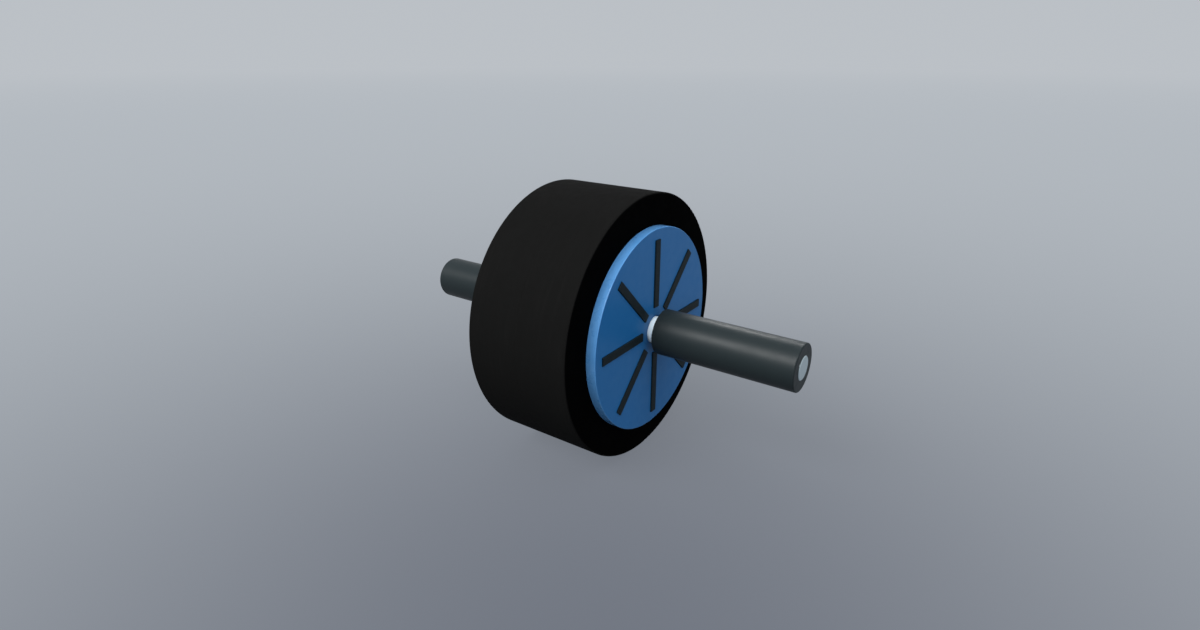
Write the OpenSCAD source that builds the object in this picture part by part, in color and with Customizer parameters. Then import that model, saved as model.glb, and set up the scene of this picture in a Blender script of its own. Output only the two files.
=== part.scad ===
// Ab wheel roller: a wide wheel with a solid rubber tyre, which spins on two ball bearings between two
// straight grips. The origin is the wheel's centre. The axle lies along Y, the wheel rolls along X, and
// +Z is up.
// The right-hand side is at -Y. Each side piece is drawn outward along +Z, then turned to its own side.

/* [Tyre] */
// Outer diameter of the tyre
wheel_d = 200; // [184:1:230]
// Width of the tyre
tyre_w = 84; // [72:1:104]
// Radius of the tyre's two outer edges
tyre_edge_r = 0.8; // [0.4:0.1:4]
// Width of the bead inside the tyre, which the two core halves clamp
bead_w = 12; // [8:1:20]
// How far the bead stands in from the tyre's bore
bead_h = 6; // [4:0.5:8]

/* [Side discs] */
// Diameter of a side disc
disc_d = 153; // [142:1:168]
// How far a side disc stands out of the tyre's sidewall
disc_proud = 7.5; // [6:0.1:12]
// Thickness of a side disc's face
disc_face_t = 3; // [2:0.1:4.5]
// Thickness of a side disc's rim wall
disc_wall_t = 3; // [2:0.1:4]
// How far a side disc's rim laps over the tyre's inner edge
disc_lap = 2; // [1:0.1:3]
// Radius of a side disc's outer edge
disc_edge_r = 0.5; // [0.3:0.1:1.5]
// Play between the collar and the hole in a side disc
disc_hole_play = 0.6; // [0.3:0.1:1.2]
// Width of a snap hook under a side disc
hook_w = 9; // [6:0.5:12]
// Thickness of a snap hook's leg
hook_t = 1.8; // [1.4:0.1:2.4]
// How far a snap hook's lip catches behind the core's web
hook_catch = 0.9; // [0.5:0.1:1.4]

/* [Spoke bars] */
// Number of spoke bars on each side, an even number
bar_count = 8; // [4:2:12]
// Width of a spoke bar
bar_w = 6.2; // [4:0.1:9]
// Distance from the axis to a bar's inner end
bar_start_r = 18; // [15:0.1:24]
// Distance from a bar's outer end to the side disc's edge
bar_end_margin = 8.1; // [6:0.1:14]
// How far a bar stands out of the side disc
bar_proud = 1; // [0.6:0.1:2.5]
// Chamfer along a bar's top edges
bar_chamfer = 0.3; // [0.1:0.1:0.6]

/* [Core] */
// Thickness of the core's web and of the hub's end wall
web_t = 3; // [2:0.1:4.5]
// Thickness of the hub barrel's wall round the bearing
hub_wall_t = 5.5; // [3.5:0.1:8]
// Thickness of the core's rim
rim_t = 3; // [2:0.1:4.5]
// Thickness of a radial rib
rib_t = 2.6; // [1.8:0.1:4]
// Radius of the half-round opening in each radial rib
rib_arch_r = 14; // [6:0.5:17]
// Thickness of the ring rib that ties the bolt bosses together
tie_rib_t = 2.2; // [1.6:0.1:3]
// Height of the ring rib below the web
tie_rib_h = 16; // [8:1:24]
// Wall of a bolt boss round its well
boss_wall_t = 2; // [1.4:0.1:3]
// Radius of the fillets inside the core
core_fillet_r = 2; // [1:0.1:3]

/* [Core bolts] */
// Diameter of a bolt
bolt_d = 5; // [4:0.5:6]
// How far a bolt stands out of its nut
bolt_tip = 1.5; // [0.5:0.1:4]
// Diameter of a bolt's head
bolt_head_d = 8.5; // [7.5:0.1:9]
// Height of a bolt's head
bolt_head_h = 5; // [4:0.1:6]
// Size of the hexagon socket across its flats
bolt_socket_af = 4; // [3:0.5:5]
// Depth of the hexagon socket
bolt_socket_depth = 2.5; // [1.5:0.1:3]
// Size of a nut across its flats
nut_af = 8; // [7.5:0.1:8.4]
// Thickness of a nut
nut_t = 4.5; // [3:0.1:6]
// Distance from the middle plane to the seats of the heads and nuts
bolt_seat_z = 12; // [9:0.5:16]

/* [Bearings] */
// Bore of a ball bearing
bearing_bore = 17; // [15:0.5:18]
// Outer diameter of a ball bearing
bearing_od = 40; // [38:0.5:44]
// Width of a ball bearing
bearing_w = 12; // [11:0.5:14]
// Diameter of a ball
ball_d = 6.747; // [6:0.001:7.2]
// Number of balls in a bearing
ball_count = 8; // [6:1:9]
// Depth of the raceways below the rings' shoulders
race_depth = 1.37; // [1:0.01:1.8]
// Thickness of a shield
shield_t = 0.4; // [0.3:0.05:0.5]
// Gap between the ball cage and the rings' shoulders
cage_play = 0.5; // [0.3:0.05:0.8]
// Depth of the cage behind the balls' centres
cage_back = 4.3; // [4:0.1:4.6]
// Height of the cage in front of the balls' centres
cage_front = 2; // [1.4:0.1:2.6]

/* [Axle and grips] */
// Wall thickness of the collar between a bearing and a grip
collar_wall_t = 1.5; // [1:0.1:2.5]
// Wall thickness of the spacer tube between the bearings
spacer_wall_t = 2; // [1.2:0.1:3]
// Distance from a side disc to its grip
grip_gap = 6.8; // [4:0.1:14]
// Diameter of a grip
grip_d = 34; // [30:0.5:42]
// Length of a grip
grip_len = 105.3; // [80:0.1:150]
// Radius of a grip's edges
grip_edge_r = 0.8; // [0.3:0.1:2]
// How far the shaft stands out of a grip's end
shaft_proud = 0.5; // [0.2:0.1:3]
// Chamfer at the shaft's ends
shaft_chamfer = 0.4; // [0.2:0.1:1]

/* [Retaining rings] */
// Thickness of a retaining ring
clip_t = 1; // [0.8:0.05:1.2]
// Radial width of a retaining ring
clip_w = 2.3; // [1.6:0.1:2.6]
// Radius of a retaining ring's two ears
clip_ear_r = 1.8; // [1.5:0.1:2]
// Radius of the pliers hole in an ear
clip_hole_r = 0.85; // [0.6:0.05:1]
// Depth of the shaft's groove for a retaining ring
clip_groove_depth = 0.4; // [0.3:0.05:0.7]

/* [Clearances] */
// Play of the shaft in the bearings and in all that slides on it
shaft_play = 0.02; // [0.01:0.01:0.06]
// Gap where a piece is pressed or bonded into another
seat_gap = 0.03; // [0.01:0.01:0.08]
// Play of moulded pieces that pass through one another
mould_play = 0.25; // [0.15:0.05:0.4]
// Gap between the balls and the raceways
race_gap = 0.06; // [0.04:0.01:0.1]
// Gap between the balls and their cage
pocket_gap = 0.15; // [0.1:0.01:0.25]
// Gap between a shield and the inner ring
shield_gap = 0.25; // [0.15:0.05:0.4]

/* [Hidden] */
$fn = 96;
// How far a cutting shape runs past what it cuts, and a joined shape runs into its neighbour
past = 0.5;

// Places along the axle, outward from the middle plane
sidewall_z = tyre_w / 2;
face_z = sidewall_z + disc_proud;
web_z = face_z - disc_face_t;
end_wall_z = web_z - web_t;
bearing_z = end_wall_z - bearing_w / 2;
bearing_inner_z = end_wall_z - bearing_w;
grip_z = face_z + grip_gap;
grip_end_z = grip_z + grip_len;
shaft_end_z = grip_end_z + shaft_proud;
bead_z = bead_w / 2;

// Radii from the axle outward
bore_r = bearing_bore / 2;
shaft_r = bore_r - shaft_play;
collar_r = bore_r + collar_wall_t;
spacer_r = bore_r + spacer_wall_t;
disc_hole_r = collar_r + disc_hole_play;
bearing_r = bearing_od / 2;
hub_r = bearing_r + hub_wall_t;
disc_r = disc_d / 2;
core_r = disc_r - disc_lap;
spigot_r = disc_r - disc_wall_t - mould_play;
rim_in_r = core_r - rim_t;
bead_r = core_r - bead_h;
tyre_r = wheel_d / 2;
bar_end_r = disc_r - bar_end_margin;

// Bearing radii
ball_r = ball_d / 2;
pitch_r = (bearing_bore + bearing_od) / 4;
inner_shoulder_r = pitch_r - ball_r + race_depth;
outer_shoulder_r = pitch_r + ball_r - race_depth;
inner_ring_room = 1;
end_wall_hole_r = inner_shoulder_r + inner_ring_room;
cage_in_r = inner_shoulder_r + cage_play;
cage_out_r = outer_shoulder_r - cage_play;
ring_chamfer = 0.5;
tube_chamfer = 0.4;

// A shield seats in a groove of the outer ring, bends outward and ends near the inner ring
shield_groove_depth = 0.9;
shield_bend_play = 0.3;
shield_inset = 1.1;
shield_step = 0.45;
shield_seat_r = outer_shoulder_r + shield_groove_depth;
shield_bend_r = outer_shoulder_r - shield_bend_play;
shield_z = bearing_w / 2 - shield_inset;

// Bolts stand halfway between the bars, and every second one points the other way
bar_step = 360 / bar_count;
bolt_circle_r = (hub_r + rim_in_r) / 2;
tool_room = 0.8;
pocket_lead = 1;
flat_angle = 30;
bolt_hole_r = bolt_d / 2 + mould_play;
nut_r = nut_af / 2 / cos(flat_angle);
nut_pocket_r = (nut_af / 2 + mould_play / 2) / cos(flat_angle);
nut_pocket_h = nut_t + pocket_lead;
well_r = max(bolt_head_d / 2 + tool_room, nut_pocket_r + mould_play);
boss_r = well_r + boss_wall_t;
bolt_len = 2 * bolt_seat_z + nut_t + bolt_tip;

// Snap hooks stand between the bars, near the rim
hook_inset = 5;
hook_nose_h = 3;
hook_flex_room = 0.4;
hook_catch_play = 0.1;
hook_r = rim_in_r - hook_inset;
hook_end_z = end_wall_z - hook_nose_h;
hook_room = hook_catch + hook_flex_room;

// Retaining rings lie inside the grips, against the ends of the collars
clip_bore_r = bore_r - clip_groove_depth;
clip_r = clip_bore_r + clip_w;
clip_side_play = 0.1;
clip_groove_w = clip_t + clip_side_play;
clip_ear_angle = 24;
clip_gap_angle = 12;
clip_reach_r = clip_r + clip_ear_r;
recess_play = 0.6;
grip_recess_r = clip_reach_r + recess_play;
grip_recess_depth = clip_groove_w + recess_play;

// Colours
rubber_black = [0.10, 0.10, 0.10];
disc_blue = [0.16, 0.33, 0.52];
core_charcoal = [0.14, 0.16, 0.17];
grip_charcoal = [0.22, 0.25, 0.26];
bright_steel = [0.66, 0.69, 0.72];
collar_white = [0.84, 0.88, 0.92];
dark_steel = [0.35, 0.36, 0.38];
cage_cream = [0.80, 0.74, 0.58];

// Turns a piece drawn outward along +Z to the right-hand side
module right_side() {
    rotate([90, 0, 0]) children();
}

// Turns a piece drawn outward along +Z to the left-hand side
module left_side() {
    rotate([-90, 0, 0]) children();
}

// Repeats a piece round the axle, once for each bar
module at_each_bar(offset_angle = 0) {
    for (k = [0 : bar_count - 1])
        rotate([0, 0, offset_angle + k * bar_step]) children();
}

// Outline of a ring with chamfered corners, as radius and height
function ring_outline(r_in, r_out, z_low, z_high, c) = [
    [r_in + c, z_low], [r_out - c, z_low], [r_out, z_low + c], [r_out, z_high - c],
    [r_out - c, z_high], [r_in + c, z_high], [r_in, z_high - c], [r_in, z_low + c]];

// A ring with chamfered corners
module chamfered_ring(r_in, r_out, z_low, z_high, c) {
    rotate_extrude() polygon(ring_outline(r_in, r_out, z_low, z_high, c));
}

// What a round of radius r takes off the upper outer corner of an outline at [x, y]
module outer_round(x, y, r) {
    translate([x - r, y - r])
        difference() {
            square(r + past);
            circle(r);
        }
}

// What a fillet of radius r adds in an inner corner at [x, y], towards the signs of dx and dy
module inner_fillet(x, y, dx, dy, r) {
    translate([x, y])
        difference() {
            translate([min(dx, 0) * r - (dx > 0 ? past : 0), min(dy, 0) * r - (dy > 0 ? past : 0)])
                square(r + past);
            translate([dx * r, dy * r]) circle(r);
        }
}

// Solid rubber tyre with a bead round the middle of its bore
module tyre() {
    color(rubber_black)
    rotate([90, 0, 0])
    rotate_extrude()
    union() {
        difference() {
            translate([core_r + seat_gap, -sidewall_z]) square([tyre_r - core_r - seat_gap, tyre_w]);
            outer_round(tyre_r, sidewall_z, tyre_edge_r);
            mirror([0, 1]) outer_round(tyre_r, sidewall_z, tyre_edge_r);
        }
        translate([bead_r + seat_gap, -bead_z]) square([bead_h + past, bead_w]);
    }
}

// Revolved shell of a core half: hub barrel, web and rim, with the step that clamps the tyre's bead
module core_shell() {
    step_z = bead_z + seat_gap;
    step_top_z = step_z + rim_t;
    rotate_extrude()
    union() {
        polygon([
            [bearing_r + seat_gap, 0], [hub_r, 0], [hub_r, end_wall_z], [rim_in_r, end_wall_z],
            [rim_in_r, step_top_z], [bead_r - rim_t, step_top_z], [bead_r - rim_t, 0], [bead_r, 0],
            [bead_r, step_z], [core_r, step_z], [core_r, sidewall_z], [spigot_r, sidewall_z],
            [spigot_r, web_z], [end_wall_hole_r, web_z], [end_wall_hole_r, end_wall_z],
            [bearing_r + seat_gap, end_wall_z]]);
        inner_fillet(hub_r, end_wall_z, 1, -1, core_fillet_r);
        inner_fillet(rim_in_r, end_wall_z, -1, -1, core_fillet_r);
    }
}

// Radial rib from the hub to the rim, arched at the middle plane
module core_rib() {
    rib_mid_r = (hub_r + bead_r - rim_t) / 2;
    step_top_z = bead_z + seat_gap + rim_t;
    rotate([90, 0, 0])
    translate([0, 0, -rib_t / 2])
    linear_extrude(rib_t)
    difference() {
        polygon([
            [hub_r - past, 0], [bead_r - rim_t + past, 0], [bead_r - rim_t + past, step_top_z - past],
            [rim_in_r + past, step_top_z - past], [rim_in_r + past, end_wall_z + past],
            [hub_r - past, end_wall_z + past]]);
        translate([rib_mid_r, 0]) circle(rib_arch_r);
    }
}

// Spoke bar on the web's outer face, with its top edges chamfered
module spoke_bar() {
    bar_top_z = face_z + bar_proud;
    half_w = bar_w / 2;
    translate([bar_start_r, 0, 0])
    rotate([90, 0, 90])
    linear_extrude(bar_end_r - bar_start_r)
    polygon([
        [-half_w, web_z - past], [half_w, web_z - past], [half_w, bar_top_z - bar_chamfer],
        [half_w - bar_chamfer, bar_top_z], [-half_w + bar_chamfer, bar_top_z],
        [-half_w, bar_top_z - bar_chamfer]]);
}

// Well, hole and seat of one core bolt. A nut's well ends in a hexagon pocket.
module bolt_well(for_nut) {
    well_z = for_nut ? bolt_seat_z + nut_pocket_h : bolt_seat_z;
    translate([bolt_circle_r, 0, 0]) {
        translate([0, 0, -past]) cylinder(h = web_z + 2 * past, r = bolt_hole_r);
        translate([0, 0, well_z]) cylinder(h = web_z - well_z + past, r = well_r);
        if (for_nut)
            translate([0, 0, bolt_seat_z]) cylinder(h = nut_pocket_h + past, r = nut_pocket_r, $fn = 6);
    }
}

// Window in the web that a snap hook passes through
module hook_window() {
    translate([hook_r - hook_t - hook_room, -hook_w / 2 - mould_play, end_wall_z - past])
        cube([hook_t + hook_room + mould_play, hook_w + 2 * mould_play, web_t + 2 * past]);
}

// One moulded core half. The other half is the same piece turned round.
module core_half() {
    color(core_charcoal)
    difference() {
        union() {
            core_shell();
            at_each_bar() core_rib();
            at_each_bar() spoke_bar();
            at_each_bar(bar_step / 2)
                translate([bolt_circle_r, 0, 0]) cylinder(h = web_z - past, r = boss_r);
            rotate_extrude()
                translate([bolt_circle_r - tie_rib_t / 2, end_wall_z - tie_rib_h])
                    square([tie_rib_t, tie_rib_h + past]);
        }
        for (k = [0 : bar_count - 1])
            rotate([0, 0, (k + 0.5) * bar_step]) {
                bolt_well(k % 2 == 1);
                hook_window();
            }
    }
}

// Snap hook under a side disc, with a sloped lip that catches behind the core's web
module snap_hook() {
    catch_z = end_wall_z - hook_catch_play;
    nose_r = hook_r - hook_t / 2;
    translate([0, hook_w / 2, 0])
    rotate([90, 0, 0])
    linear_extrude(hook_w)
    polygon([
        [hook_r - hook_t, web_z + past], [hook_r, web_z + past], [hook_r, catch_z],
        [hook_r + hook_catch + mould_play, catch_z], [nose_r, hook_end_z],
        [hook_r - hook_t, hook_end_z]]);
}

// Side disc: a shallow cap with slots that the core's spoke bars stand through
module side_disc() {
    slot_w = bar_w + 2 * mould_play;
    slot_len = bar_end_r - bar_start_r + 2 * mould_play;
    color(disc_blue)
    difference() {
        union() {
            rotate_extrude()
            difference() {
                polygon([
                    [disc_hole_r, web_z], [disc_r - disc_wall_t, web_z], [disc_r - disc_wall_t, sidewall_z],
                    [disc_r, sidewall_z], [disc_r, face_z], [disc_hole_r + tube_chamfer, face_z],
                    [disc_hole_r, face_z - tube_chamfer]]);
                outer_round(disc_r, face_z, disc_edge_r);
            }
            at_each_bar(bar_step / 2) snap_hook();
        }
        at_each_bar()
            translate([bar_start_r - mould_play, -slot_w / 2, web_z - past])
                cube([slot_len, slot_w, disc_face_t + 2 * past]);
    }
}

// Socket head bolt, drawn with its head outward along +Z
module core_bolt() {
    difference() {
        union() {
            translate([0, 0, bolt_seat_z]) cylinder(h = bolt_head_h, r = bolt_head_d / 2);
            translate([0, 0, bolt_seat_z - bolt_len]) cylinder(h = bolt_len + past, r = bolt_d / 2);
        }
        translate([0, 0, bolt_seat_z + bolt_head_h - bolt_socket_depth])
            cylinder(h = bolt_socket_depth + past, r = bolt_socket_af / 2 / cos(flat_angle), $fn = 6);
    }
}

// Hexagon nut at the far end of a bolt
module core_nut() {
    translate([0, 0, -bolt_seat_z - nut_t])
    difference() {
        cylinder(h = nut_t, r = nut_r, $fn = 6);
        translate([0, 0, -past]) cylinder(h = nut_t + 2 * past, r = bolt_d / 2 + seat_gap);
    }
}

// Puts a bolt or a nut at each place round the core. Every second one points the other way.
module at_each_bolt() {
    rotate([90, 0, 0])
    for (k = [0 : bar_count - 1])
        rotate([0, 0, (k + 0.5) * bar_step])
            translate([bolt_circle_r, 0, 0])
                rotate([k % 2 == 1 ? 180 : 0, 0, 0]) children();
}

module core_bolts() {
    color(dark_steel) at_each_bolt() core_bolt();
}

module core_nuts() {
    color(dark_steel) at_each_bolt() core_nut();
}

// Solid axle shaft with chamfered ends and a groove for each retaining ring
module axle_shaft() {
    groove_r = clip_bore_r - seat_gap;
    tip_r = shaft_r - shaft_chamfer;
    color(bright_steel)
    rotate([90, 0, 0])
    rotate_extrude()
    difference() {
        polygon([
            [0, -shaft_end_z], [tip_r, -shaft_end_z], [shaft_r, -shaft_end_z + shaft_chamfer],
            [shaft_r, shaft_end_z - shaft_chamfer], [tip_r, shaft_end_z], [0, shaft_end_z]]);
        translate([groove_r, grip_z]) square([shaft_r, clip_groove_w]);
        translate([groove_r, -grip_z - clip_groove_w]) square([shaft_r, clip_groove_w]);
    }
}

// Tube that keeps the two inner rings apart
module inner_spacer_tube() {
    color(bright_steel)
    rotate([90, 0, 0])
        chamfered_ring(bore_r, spacer_r, -bearing_inner_z, bearing_inner_z, tube_chamfer);
}

// Bright collar between a bearing's inner ring and the retaining ring in the grip
module collar() {
    color(collar_white) chamfered_ring(bore_r, collar_r, end_wall_z, grip_z, tube_chamfer);
}

// Open spring ring with two ears for pliers, in the shaft's groove
module retaining_ring() {
    gap_x = 2 * clip_reach_r * cos(clip_gap_angle);
    gap_y = 2 * clip_reach_r * sin(clip_gap_angle);
    color(dark_steel)
    translate([0, 0, grip_z + clip_side_play / 2])
    difference() {
        union() {
            cylinder(h = clip_t, r = clip_r);
            for (side = [-1, 1])
                rotate([0, 0, 90 + side * clip_ear_angle])
                    translate([clip_r, 0, 0]) cylinder(h = clip_t, r = clip_ear_r);
        }
        translate([0, 0, -past]) {
            cylinder(h = clip_t + 2 * past, r = clip_bore_r);
            rotate([0, 0, 90])
                linear_extrude(clip_t + 2 * past) polygon([[0, 0], [gap_x, gap_y], [gap_x, -gap_y]]);
            for (side = [-1, 1])
                rotate([0, 0, 90 + side * clip_ear_angle])
                    translate([clip_r, 0, 0]) cylinder(h = clip_t + 2 * past, r = clip_hole_r);
        }
    }
}

// Straight rubber grip, recessed at its inner end for the retaining ring
module grip() {
    grip_r = grip_d / 2;
    color(grip_charcoal)
    rotate_extrude()
    difference() {
        translate([bore_r, grip_z]) square([grip_r - bore_r, grip_len]);
        translate([0, grip_z - past]) square([grip_recess_r, grip_recess_depth + past]);
        outer_round(grip_r, grip_end_z, grip_edge_r);
        translate([0, grip_z]) mirror([0, 1]) outer_round(grip_r, 0, grip_edge_r);
    }
}

// Outer ring of a ball bearing, with its raceway and the grooves that hold the shields
module bearing_outer_ring() {
    groove_h = shield_t + 2 * seat_gap;
    color(bright_steel)
    translate([0, 0, bearing_z])
    rotate_extrude()
    difference() {
        polygon(ring_outline(outer_shoulder_r, bearing_r, -bearing_w / 2, bearing_w / 2, ring_chamfer));
        translate([pitch_r, 0]) circle(ball_r + race_gap);
        for (side = [0, 1])
            mirror([0, side])
                translate([shield_bend_r, shield_z - seat_gap])
                    square([shield_seat_r - shield_bend_r + seat_gap, groove_h]);
    }
}

// Inner ring of a ball bearing, with its raceway
module bearing_inner_ring() {
    color(bright_steel)
    translate([0, 0, bearing_z])
    rotate_extrude()
    difference() {
        polygon(ring_outline(bore_r, inner_shoulder_r, -bearing_w / 2, bearing_w / 2, ring_chamfer));
        translate([pitch_r, 0]) circle(ball_r + race_gap);
    }
}

// Pressed shield, seated in the outer ring's groove and clear of the inner ring
module bearing_shield() {
    shield_hole_r = inner_shoulder_r + shield_gap;
    bend_in_r = shield_bend_r - shield_step;
    step_z = shield_z + shield_step;
    color(bright_steel)
    rotate_extrude()
    polygon([
        [shield_seat_r, shield_z], [shield_seat_r, shield_z + shield_t], [shield_bend_r, shield_z + shield_t],
        [bend_in_r, step_z + shield_t], [shield_hole_r, step_z + shield_t], [shield_hole_r, step_z],
        [bend_in_r, step_z], [shield_bend_r, shield_z]]);
}

module outer_shield() {
    translate([0, 0, bearing_z]) bearing_shield();
}

module inner_shield() {
    translate([0, 0, bearing_z]) mirror([0, 0, 1]) bearing_shield();
}

// Repeats a piece at each ball of a bearing
module at_each_ball() {
    translate([0, 0, bearing_z])
        for (k = [0 : ball_count - 1])
            rotate([0, 0, k * 360 / ball_count]) translate([pitch_r, 0, 0]) children();
}

// Moulded crown cage that snaps over the balls
module ball_cage() {
    color(cage_cream)
    difference() {
        translate([0, 0, bearing_z])
            chamfered_ring(cage_in_r, cage_out_r, -cage_back, cage_front, tube_chamfer);
        at_each_ball() sphere(ball_r + pocket_gap);
    }
}

module balls() {
    color(collar_white) at_each_ball() sphere(ball_r);
}

tyre();
right_side() core_half();  // right_core_half
left_side() core_half();  // left_core_half
right_side() side_disc();  // right_side_disc
left_side() side_disc();  // left_side_disc
core_bolts();
core_nuts();
axle_shaft();
inner_spacer_tube();
right_side() collar();  // right_collar
left_side() collar();  // left_collar
right_side() retaining_ring();  // right_retaining_ring
left_side() retaining_ring();  // left_retaining_ring
right_side() grip();  // right_grip
left_side() grip();  // left_grip
right_side() bearing_outer_ring();  // right_bearing_outer_ring
left_side() bearing_outer_ring();  // left_bearing_outer_ring
right_side() bearing_inner_ring();  // right_bearing_inner_ring
left_side() bearing_inner_ring();  // left_bearing_inner_ring
right_side() outer_shield();  // right_outer_shield
left_side() outer_shield();  // left_outer_shield
right_side() inner_shield();  // right_inner_shield
left_side() inner_shield();  // left_inner_shield
right_side() ball_cage();  // right_ball_cage
left_side() ball_cage();  // left_ball_cage
right_side() balls();  // right_balls
left_side() balls();  // left_balls
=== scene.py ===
import math

import bpy
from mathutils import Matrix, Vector


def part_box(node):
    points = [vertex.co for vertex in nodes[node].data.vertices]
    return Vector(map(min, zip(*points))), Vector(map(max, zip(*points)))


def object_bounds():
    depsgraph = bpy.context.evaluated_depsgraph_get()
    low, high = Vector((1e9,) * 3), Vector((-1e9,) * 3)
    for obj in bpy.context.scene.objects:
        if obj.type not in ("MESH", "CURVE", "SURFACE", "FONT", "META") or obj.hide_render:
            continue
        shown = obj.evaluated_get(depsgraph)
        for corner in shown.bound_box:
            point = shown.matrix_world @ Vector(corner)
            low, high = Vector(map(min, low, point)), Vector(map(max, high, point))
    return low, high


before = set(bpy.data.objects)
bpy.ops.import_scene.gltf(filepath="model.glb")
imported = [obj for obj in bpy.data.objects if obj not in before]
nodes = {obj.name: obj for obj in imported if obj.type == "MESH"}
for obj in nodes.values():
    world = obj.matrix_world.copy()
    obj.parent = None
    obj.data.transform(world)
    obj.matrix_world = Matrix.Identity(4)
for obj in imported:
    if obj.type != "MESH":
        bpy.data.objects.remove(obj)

cad_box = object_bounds()


def mm(value):
    """That many millimetres, in metres."""
    return value / 1000.0


# Sizes in metres from the frame, where a box is its lowest and its highest corner and the axle lies along Y
WHEEL_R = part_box("tyre")[1][2]
DISC_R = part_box("left_side_disc")[1][2]
GRIP_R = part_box("left_grip")[1][2]
GRIP_IN, GRIP_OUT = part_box("left_grip")[0][1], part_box("left_grip")[1][1]

# The photograph's camera: its azimuth and elevation round the wheel's centre in degrees, its distance from
# there, and a small step to its own right, without turning
CAMERA_AZIMUTH = -55.0
CAMERA_ELEVATION = 21.98
CAMERA_DISTANCE = 5.302 * WHEEL_R
CAMERA_RIGHT = -0.0015 * WHEEL_R
CAMERA_CLIP_START = 0.02
LENS_MM = 20.4
SENSOR_MM = 36.0

# A sun lamp's light depends on its direction alone, so where the lamps stand changes nothing
LAMP_DISTANCE = 4 * WHEEL_R
# The studio's backdrop lights the object evenly and is what the camera sees above the floor
BACKDROP_COLOUR = (0.50, 0.53, 0.565)


def direction(azimuth, elevation):
    """The direction from the wheel's centre to a point at that azimuth and elevation, in degrees. Azimuth 0
    is at -Y, the right-hand side, and 90 is at +X."""
    a, e = math.radians(azimuth), math.radians(elevation)
    return Vector((math.sin(a) * math.cos(e), -math.cos(a) * math.cos(e), math.sin(e)))


def stand(name, data, azimuth, elevation, distance):
    """Adds a camera or a lamp at that place round the wheel's centre, and turns it to the centre."""
    thing = bpy.data.objects.new(name, data)
    bpy.context.scene.collection.objects.link(thing)
    outward = direction(azimuth, elevation)
    thing.location = outward * distance
    thing.rotation_mode = "QUATERNION"
    thing.rotation_quaternion = (-outward).to_track_quat("-Z", "Y")
    return thing


def make_camera():
    data = bpy.data.cameras.new("camera")
    data.sensor_width = SENSOR_MM
    data.lens = LENS_MM
    data.clip_start = CAMERA_CLIP_START
    camera = stand("camera", data, CAMERA_AZIMUTH, CAMERA_ELEVATION, CAMERA_DISTANCE)
    own_right = camera.rotation_quaternion @ Vector((1, 0, 0))
    camera.location += own_right * CAMERA_RIGHT
    bpy.context.scene.camera = camera


def add_lamp(name, azimuth, elevation, spread, level, lights=True, mirrored=True):
    """A distant soft lamp. A surface that faces a lamp of level 1 shows its colour as it is written. A lamp
    can light surfaces, be mirrored in glossy ones, or both."""
    data = bpy.data.lights.new(name, "SUN")
    data.angle = math.radians(spread)
    data.energy = level * math.pi
    lamp = stand(name, data, azimuth, elevation, LAMP_DISTANCE)
    lamp.visible_diffuse = lights
    lamp.visible_glossy = mirrored


def make_lights():
    """Three key lamps in a row beside the axle, whose mirror image runs along a grip as a long strip's does.
    Two more lamps only light, and one from behind only draws a thin line on a grip's upper edge."""
    add_lamp("key_front", azimuth=-102.9, elevation=44.2, spread=30.0, level=0.76)
    add_lamp("key_middle", azimuth=-115.2, elevation=42.0, spread=30.0, level=0.52)
    add_lamp("key_back", azimuth=-129.2, elevation=37.7, spread=30.0, level=0.15)
    add_lamp("front_fill", azimuth=-38.0, elevation=36.0, spread=90.0, level=0.52, mirrored=False)
    add_lamp("top", azimuth=-90.0, elevation=80.0, spread=60.0, level=0.55, mirrored=False)
    add_lamp("rim", azimuth=114.0, elevation=30.0, spread=20.0, level=0.25, lights=False)


def make_backdrop():
    world = bpy.data.worlds.new("studio")
    world.use_nodes = True
    background = world.node_tree.nodes["Background"]
    background.inputs["Color"].default_value = (*BACKDROP_COLOUR, 1.0)
    background.inputs["Strength"].default_value = 1.0
    bpy.context.scene.world = world


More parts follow.
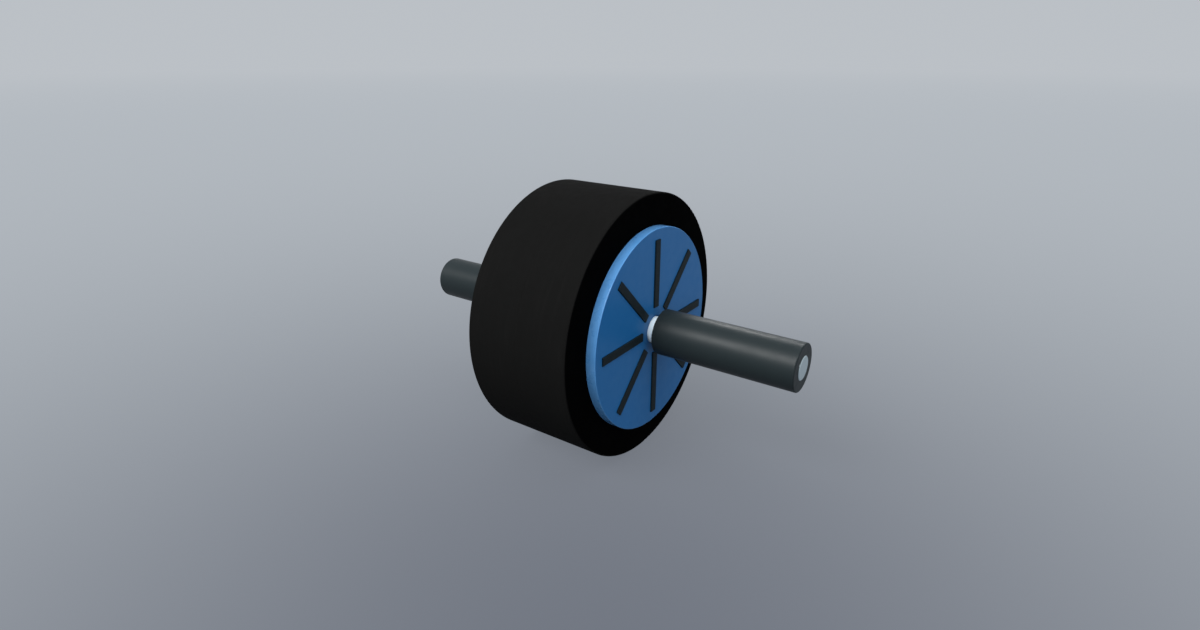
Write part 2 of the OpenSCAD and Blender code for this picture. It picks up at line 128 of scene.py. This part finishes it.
class Material:
    """A node material with the few kinds of node that these finishes share. Places are in the object's own
    frame, in metres, so the scale of a noise is about how many of its features there are in a metre."""

    def __init__(self, name, specular=0.5, metallic=0.0):
        self.material = bpy.data.materials.new(name)
        self.material.use_nodes = True
        self.tree = self.material.node_tree
        self.shader = self.tree.nodes["Principled BSDF"]
        self.set("Specular IOR Level", specular)
        self.set("Metallic", metallic)
        self.place = self.node("ShaderNodeTexCoord", {})["Object"]

    def feed(self, socket, value):
        """Sets a socket to a number or a colour, or links the output of a node to it."""
        if isinstance(value, (int, float)):
            socket.default_value = value
        elif isinstance(value, tuple):
            socket.default_value = (*value, 1.0)
        else:
            self.tree.links.new(value, socket)

    def set(self, socket, value):
        """Feeds a socket of the shader."""
        self.feed(self.shader.inputs[socket], value)

    def node(self, kind, sockets, **settings):
        """Adds a node with those settings, feeds its sockets by name or number, and gives its outputs."""
        node = self.tree.nodes.new(kind)
        for name, setting in settings.items():
            setattr(node, name, setting)
        for socket, value in sockets.items():
            self.feed(node.inputs[socket], value)
        return node.outputs

    def math(self, operation, *values):
        return self.node("ShaderNodeMath", dict(enumerate(values)), operation=operation)["Value"]

    def plus(self, a, b):
        return self.math("ADD", a, b)

    def minus(self, a, b):
        return self.math("SUBTRACT", a, b)

    def times(self, a, b):
        return self.math("MULTIPLY", a, b)

    def axes(self):
        """The X, Y and Z of the place."""
        return self.node("ShaderNodeSeparateXYZ", {"Vector": self.place})

    def round_axle(self):
        """Distance from the axle's axis, angle round it in radians, and place along it."""
        x, y, z = self.axes()
        radius = self.math("SQRT", self.plus(self.times(x, x), self.times(z, z)))
        return radius, self.math("ARCTAN2", z, x), y

    def span(self, value, low, high, to_low=0.0, to_high=1.0):
        """Goes smoothly from to_low to to_high as value goes from low to high."""
        sockets = {"Value": value, "From Min": low, "From Max": high, "To Min": to_low, "To Max": to_high}
        return self.node("ShaderNodeMapRange", sockets, interpolation_type="SMOOTHSTEP")["Result"]

    def line(self, value, place, half_width):
        """1 where value is at the place, falling smoothly to 0 half a width away."""
        distance = self.math("ABSOLUTE", self.minus(value, place))
        return self.span(distance, 0.0, half_width, to_low=1.0, to_high=0.0)

    def mix(self, factor, a, b):
        """The colour a where the factor is 0, and b where it is 1."""
        return self.node("ShaderNodeMix", {"Factor": factor, "A": a, "B": b}, data_type="RGBA")["Result"]

    def scaled(self, colour, factor):
        sockets = {"Vector": colour, "Scale": factor}
        return self.node("ShaderNodeVectorMath", sockets, operation="SCALE")["Vector"]

    def noise(self, scale, detail, roughness=0.5, at=None):
        sockets = {"Vector": at or self.place, "Scale": scale, "Detail": detail, "Roughness": roughness}
        return self.node("ShaderNodeTexNoise", sockets)["Fac"]

    def patches(self, scale, detail, low, high, noise_low=0.3, noise_high=0.7):
        """Soft patches, which go from low to high as their noise goes from noise_low to noise_high."""
        return self.span(self.noise(scale, detail), noise_low, noise_high, low, high)

    def streaks(self, *stretches, detail, roughness):
        """Noise that is drawn out. A stretch is a value, and about how many features one unit of it has."""
        axes = dict(zip("XYZ", (self.times(value, features) for value, features in stretches)))
        return self.noise(1.0, detail, roughness, at=self.node("ShaderNodeCombineXYZ", axes)["Vector"])

    def bump(self, height, distance, over=None):
        """Raises the surface by up to the distance, over the bumps that it already has."""
        sockets = {"Height": height, "Strength": 1.0, "Distance": distance}
        if over is not None:
            sockets["Normal"] = over
        return self.node("ShaderNodeBump", sockets)["Normal"]

    def grain(self, scale, distance):
        return self.bump(self.noise(scale, detail=2.0), distance)


def tyre_rubber():
    """Matt black rubber: deep black sidewalls, whose darkness beside the tread is painted shade, and a tread
    with faint lighter scuffs.
    """
    # The sidewall's colour is painted shade: it is far darker than the tread's, the way a face turned from
    # the lamps looks
    wall_painted_shade_darker, wall_painted_shade_lighter = (0.0002, 0.0002, 0.0002), (0.0005, 0.0005, 0.0005)
    tread_darker, tread_lighter = (0.0040, 0.0040, 0.0039), (0.0053, 0.0052, 0.0051)
    m = Material("tyre_rubber", specular=0.018)
    radius, angle, along = m.round_axle()
    # The sidewall's painted shade fades into the tread's black at the tyre's rounded edge
    fade_start, fade_end = WHEEL_R - mm(1.4), WHEEL_R - mm(0.3)
    on_tread = m.span(radius, fade_start, fade_end)
    cloud = m.noise(scale=22.0, detail=5.0, roughness=0.6)
    scuffs = m.streaks((along, 420.0), (angle, 1.6), detail=4.0, roughness=0.65)
    worn = m.times(m.span(cloud, low=0.35, high=0.7), m.span(scuffs, low=0.45, high=0.75))
    wall = m.mix(cloud, wall_painted_shade_darker, wall_painted_shade_lighter)
    tread = m.mix(worn, tread_darker, tread_lighter)
    m.set("Base Color", m.mix(on_tread, wall, tread))
    m.set("Roughness", m.patches(scale=180.0, detail=5.0, low=0.84, high=0.98))
    mould_line = m.times(m.line(along, place=0.0, half_width=mm(0.35)), on_tread)
    grain = m.grain(scale=3200.0, distance=mm(0.03))
    m.set("Normal", m.bump(mould_line, distance=mm(0.12), over=grain))
    return m.material


def disc_plastic():
    """Satin blue plastic, smoother on its outer wall, where its lighter colour is a painted highlight, and
    finely scratched round the axle.
    """
    darker, lighter = (0.0062, 0.0920, 0.256), (0.0080, 0.0990, 0.275)
    # The outer wall's lighter colour is a painted highlight, and the wall is also a little smoother
    wall_painted_highlight, wall_smoother = (0.062, 0.188, 0.392), 0.13
    m = Material("disc_plastic", specular=0.30)
    radius, angle, _ = m.round_axle()
    flow = m.mix(m.noise(scale=26.0, detail=4.0), darker, lighter)
    # Soft patches break up both the wall's painted highlight and its smoothness
    rubbed_and_highlight_patches = m.patches(scale=90.0, detail=4.0, low=0.75, high=1.0, noise_low=0.2, noise_high=0.6)
    wall = m.times(m.line(radius, DISC_R, half_width=mm(0.5)), rubbed_and_highlight_patches)
    m.set("Base Color", m.mix(wall, flow, wall_painted_highlight))
    scratches = m.streaks((radius, 2600.0), (angle, 2.2), detail=3.0, roughness=0.7)
    satin = m.patches(scale=120.0, detail=4.0, low=0.38, high=0.46)
    scratched = m.span(scratches, low=0.62, high=0.8, to_low=0.0, to_high=0.10)
    m.set("Roughness", m.plus(m.minus(satin, m.times(wall, wall_smoother)), scratched))
    ridges = m.span(scratches, low=0.66, high=0.8)
    grain = m.grain(scale=2600.0, distance=mm(0.012))
    m.set("Normal", m.bump(ridges, distance=mm(0.012), over=grain))
    return m.material


def grip_rubber():
    """Smooth charcoal rubber, a little glossier where hands close round it, with a fine parting line."""
    darker, lighter = (0.0092, 0.0134, 0.0146), (0.0110, 0.0154, 0.0168)
    m = Material("grip_rubber", specular=0.12)
    radius, _, along = m.round_axle()
    m.set("Base Color", m.mix(m.noise(scale=40.0, detail=5.0), darker, lighter))
    middle, half_length = (GRIP_IN + GRIP_OUT) / 2, (GRIP_OUT - GRIP_IN) / 2
    held = m.line(m.math("ABSOLUTE", along), middle, half_length)
    polish = m.times(held, m.patches(scale=60.0, detail=4.0, low=0.01, high=0.04))
    m.set("Roughness", m.minus(m.patches(scale=240.0, detail=4.0, low=0.38, high=0.44), polish))
    # The parting line runs along the grip's top and bottom, and not across its ends
    side_start, side_end = GRIP_R - mm(0.6), GRIP_R - mm(0.2)
    on_side = m.span(radius, side_start, side_end)
    parting_line = m.times(m.line(m.axes()["X"], place=0.0, half_width=mm(0.3)), on_side)
    grain = m.grain(scale=2800.0, distance=mm(0.012))
    m.set("Normal", m.bump(parting_line, distance=mm(0.06), over=grain))
    return m.material


def moulded_plastic(name, darker, lighter, roughness, specular):
    """Moulded plastic with a fine grain and slight flow marks."""
    m = Material(name, specular=specular)
    m.set("Base Color", m.mix(m.noise(scale=30.0, detail=4.0), darker, lighter))
    m.set("Roughness", m.patches(scale=140.0, detail=4.0, low=roughness - 0.05, high=roughness + 0.05))
    m.set("Normal", m.grain(scale=2400.0, distance=mm(0.015)))
    return m.material


def turned_metal(name, darker, lighter, roughness, tool_marks=mm(0.004), metallic=1.0):
    """Turned or ground metal with fine tool marks: rings on the ends and hoops along the sides."""
    m = Material(name, metallic=metallic)
    radius, angle, along = m.round_axle()
    marks = m.streaks((radius, 5200.0), (along, 5200.0), (angle, 0.8), detail=3.0, roughness=0.6)
    m.set("Base Color", m.mix(m.noise(scale=260.0, detail=3.0), darker, lighter))
    m.set("Roughness", m.span(marks, low=0.3, high=0.7, to_low=roughness - 0.06, to_high=roughness + 0.06))
    m.set("Normal", m.bump(marks, tool_marks))
    return m.material


def paint(material, *names):
    """Gives the material to the CAD nodes of those names, in all their slots."""
    for name in names:
        slots = nodes[name].material_slots
        if not slots:
            nodes[name].data.materials.append(material)
        for slot in slots:
            slot.material = material


def both_sides(*names):
    return [side + name for name in names for side in ("right_", "left_")]


def dress():
    core_plastic = moulded_plastic(
        "core_plastic", (0.0052, 0.0098, 0.0126), (0.0066, 0.0118, 0.0150), roughness=0.5, specular=0.1)
    cage_plastic = moulded_plastic(
        "cage_plastic", (0.56, 0.48, 0.30), (0.64, 0.56, 0.36), roughness=0.45, specular=0.4)
    shaft_steel = turned_metal(
        "shaft_steel", (0.64, 0.75, 0.78), (0.70, 0.81, 0.84), roughness=0.34)
    collar_metal = turned_metal(
        "collar_metal", (0.74, 0.87, 0.95), (0.80, 0.92, 0.98), roughness=0.36, metallic=0.05)
    bearing_steel = turned_metal(
        "bearing_steel", (0.56, 0.58, 0.60), (0.64, 0.66, 0.68), roughness=0.2, tool_marks=mm(0.001))
    bolt_steel = turned_metal(
        "bolt_steel", (0.28, 0.29, 0.31), (0.36, 0.37, 0.39), roughness=0.38)
    spring_steel = turned_metal(
        "spring_steel", (0.09, 0.09, 0.10), (0.13, 0.13, 0.14), roughness=0.42)

    paint(tyre_rubber(), "tyre")
    paint(disc_plastic(), *both_sides("side_disc"))
    paint(grip_rubber(), *both_sides("grip"))
    paint(core_plastic, *both_sides("core_half"))
    paint(cage_plastic, *both_sides("ball_cage"))
    paint(shaft_steel, "axle_shaft", "inner_spacer_tube")
    paint(collar_metal, *both_sides("collar"))
    paint(bearing_steel, *both_sides("bearing_outer_ring", "bearing_inner_ring", "balls"))
    paint(bearing_steel, *both_sides("outer_shield", "inner_shield"))
    paint(bolt_steel, "core_bolts", "core_nuts")
    paint(spring_steel, *both_sides("retaining_ring"))


# The floor is darkest between the wheel and the photograph's camera, and halfway to its far colour at
# FLOOR_FADE from there. It turns into the backdrop from FLOOR_MERGE_START to FLOOR_MERGE_END. In metres.
FLOOR_SIZE = 80.0
FLOOR_NEAR = (0.169, 0.186, 0.222)
FLOOR_FAR = (0.456, 0.490, 0.528)
FLOOR_DARKEST = direction(CAMERA_AZIMUTH, 0) * (2.5 * WHEEL_R)
FLOOR_FADE = 0.47
FLOOR_MERGE_START, FLOOR_MERGE_END = 2.0, 9.0
# The light of the lamps and the backdrop on the floor, where 1 shows a colour as it is written
FLOOR_LEVEL = 2.3
# The share of the near floor's look that glows. The rest is lit and takes the shadow, which so stays light.
FLOOR_GLOW = 0.74


def floor_paint():
    """A part of what the floor shows is lit and the rest glows, in a colour that lightens with distance."""
    m = Material("floor", specular=0.05)
    m.set("Roughness", 0.95)
    x, y, _ = m.axes()
    x, y = m.minus(x, FLOOR_DARKEST.x), m.minus(y, FLOOR_DARKEST.y)
    square = m.plus(m.times(x, x), m.times(y, y))
    distance = m.math("SQRT", square)
    fade = m.math("DIVIDE", square, m.plus(square, FLOOR_FADE ** 2))
    shown = m.mix(fade, FLOOR_NEAR, FLOOR_FAR)
    m.set("Base Color", m.scaled(shown, 1 / FLOOR_LEVEL))
    merged = m.mix(m.span(distance, FLOOR_MERGE_START, FLOOR_MERGE_END), shown, BACKDROP_COLOUR)
    glow = m.node("ShaderNodeEmission", {"Color": merged})["Emission"]
    share = m.span(distance, 0.0, FLOOR_MERGE_END, to_low=FLOOR_GLOW, to_high=1.0)
    both = m.node("ShaderNodeMixShader", {"Fac": share, 1: m.shader.outputs["BSDF"], 2: glow})["Shader"]
    m.feed(m.tree.nodes["Material Output"].inputs["Surface"], both)
    return m.material


def make_floor():
    """A plain pale floor under the tyre, which lightens with distance until it meets the backdrop."""
    bpy.ops.mesh.primitive_plane_add(size=FLOOR_SIZE, location=(0, 0, cad_box[0].z))
    floor = bpy.context.object
    floor.name = "floor"
    floor.data.materials.append(floor_paint())


make_camera()
make_lights()
make_backdrop()
bpy.context.scene.view_settings.view_transform = "Standard"
dress()
make_floor()
